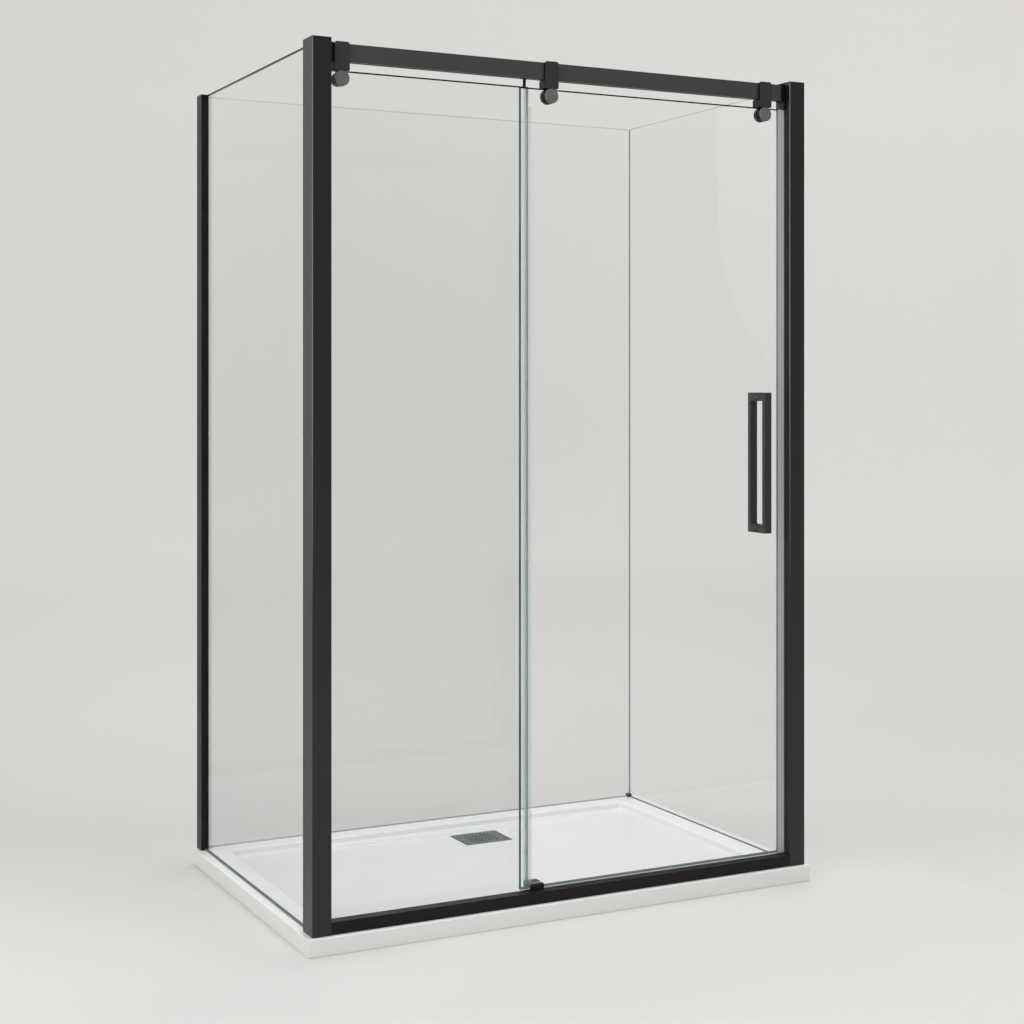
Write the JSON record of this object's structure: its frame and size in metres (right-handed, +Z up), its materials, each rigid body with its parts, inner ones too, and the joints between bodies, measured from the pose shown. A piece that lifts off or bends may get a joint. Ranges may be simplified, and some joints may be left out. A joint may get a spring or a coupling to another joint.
{
  "type": "shower enclosure with sliding door",
  "caption": "Rectangular glass shower enclosure with black frame, top-hung sliding front door on rollers, fixed front pane, white tray and slotted drain cover.",
  "frame": {"origin": "middle of the tray's underside, on the floor", "axes": "+X to the right seen from the front, +Y from the door front to the back, +Z up"},
  "size_m": [1.4, 0.9, 2.1],
  "materials": {
    "tray_white": "gloss",
    "frame_black": "satin black powder coat",
    "cap_black": "matt",
    "glass_clear": "clear",
    "seal_clear": "clear",
    "seal_grey": "satin",
    "rubber_black": "matt",
    "hanger_black": "satin black",
    "disc_grey": "satin dark grey",
    "handle_black": "satin black",
    "steel": "brushed",
    "washer_clear": "clear",
    "roller_white": "satin",
    "liner_white": "satin",
    "waste_plastic": "satin",
    "cover_grey": "satin dark grey"
  },
  "bodies": {
    "enclosure": {"back_glass": "glass_clear", "back_seal": "seal_grey", "corner_foot": "cap_black", "corner_joint": "seal_clear", "corner_profile": "frame_black", "corner_profile_beads": "rubber_black", "corner_profile_cap": "cap_black", "door_guide": "cap_black", "fixed_clamp_bolt": "steel", "fixed_disc_front": "disc_grey", "fixed_disc_rear": "disc_grey", "fixed_glass": "glass_clear", "fixed_hanger": "hanger_black", "fixed_spacer": "hanger_black", "front_sill": "frame_black", "glass_top_pin": "hanger_black", "guide_liner": "liner_white", "overlap_seal": "seal_clear", "post_left": "frame_black", "post_left_beads": "rubber_black", "post_left_cap": "cap_black", "post_right": "frame_black", "post_right_beads": "rubber_black", "post_right_cap": "cap_black", "rail_buffers": "rubber_black", "rail_socket_left": "cap_black", "rail_socket_right": "cap_black", "rail_socket_screws": "steel", "right_glass": "glass_clear", "right_seal": "seal_grey", "shower_tray": "tray_white", "side_channel": "frame_black", "side_glass": "glass_clear", "strike_block": "cap_black", "strike_strip": "rubber_black", "top_rail": "frame_black", "waste_body": "waste_plastic", "waste_clamp_ring": "waste_plastic", "waste_seal": "rubber_black"},
    "door": {"door_glass": "glass_clear", "door_bottom_seal": "seal_clear", "door_edge_seal": "seal_clear", "door_hanger_left": "hanger_black", "door_hanger_right": "hanger_black", "front_disc_left": "disc_grey", "front_disc_right": "disc_grey", "rear_disc_left": "disc_grey", "rear_disc_right": "disc_grey", "disc_gaskets": "rubber_black", "disc_bolts": "steel", "roller_axles": "steel", "handle_front": "handle_black", "handle_rear": "handle_black", "handle_bolts": "steel", "handle_washers": "washer_clear"},
    "roller_1": {"roller_pair_1": "roller_white"},
    "roller_2": {"roller_pair_2": "roller_white"},
    "roller_3": {"roller_pair_3": "roller_white"},
    "roller_4": {"roller_pair_4": "roller_white"},
    "drain_cover": {"waste_cover": "cover_grey"}
  },
  "joints": [
    {"name": "door_slide", "type": "slide", "parent": "enclosure", "child": "door", "axis": [-1, 0, 0], "range_m": [0, 0.45]},
    {"name": "roller_spin_1", "type": "hinge", "parent": "door", "child": "roller_1", "pos_m": [-0.06925, -0.41, 2.0613], "axis": [0, -1, 0], "range_deg": [0, 3040]},
    {"name": "roller_spin_2", "type": "hinge", "parent": "door", "child": "roller_2", "pos_m": [-0.05075, -0.41, 2.0613], "axis": [0, -1, 0], "range_deg": [0, 3040]},
    {"name": "roller_spin_3", "type": "hinge", "parent": "door", "child": "roller_3", "pos_m": [0.56375, -0.41, 2.0613], "axis": [0, -1, 0], "range_deg": [0, 3040]},
    {"name": "roller_spin_4", "type": "hinge", "parent": "door", "child": "roller_4", "pos_m": [0.58225, -0.41, 2.0613], "axis": [0, -1, 0], "range_deg": [0, 3040]},
    {"name": "cover_lift", "type": "slide", "parent": "enclosure", "child": "drain_cover", "axis": [0, 0, 1], "range_m": [0, 0.05]}
  ],
  "couplings": [
    {"joint": "roller_spin_1", "follows": "door_slide", "rad_per_m": 117.65},
    {"joint": "roller_spin_2", "follows": "door_slide", "rad_per_m": 117.65},
    {"joint": "roller_spin_3", "follows": "door_slide", "rad_per_m": 117.65},
    {"joint": "roller_spin_4", "follows": "door_slide", "rad_per_m": 117.65}
  ]
}
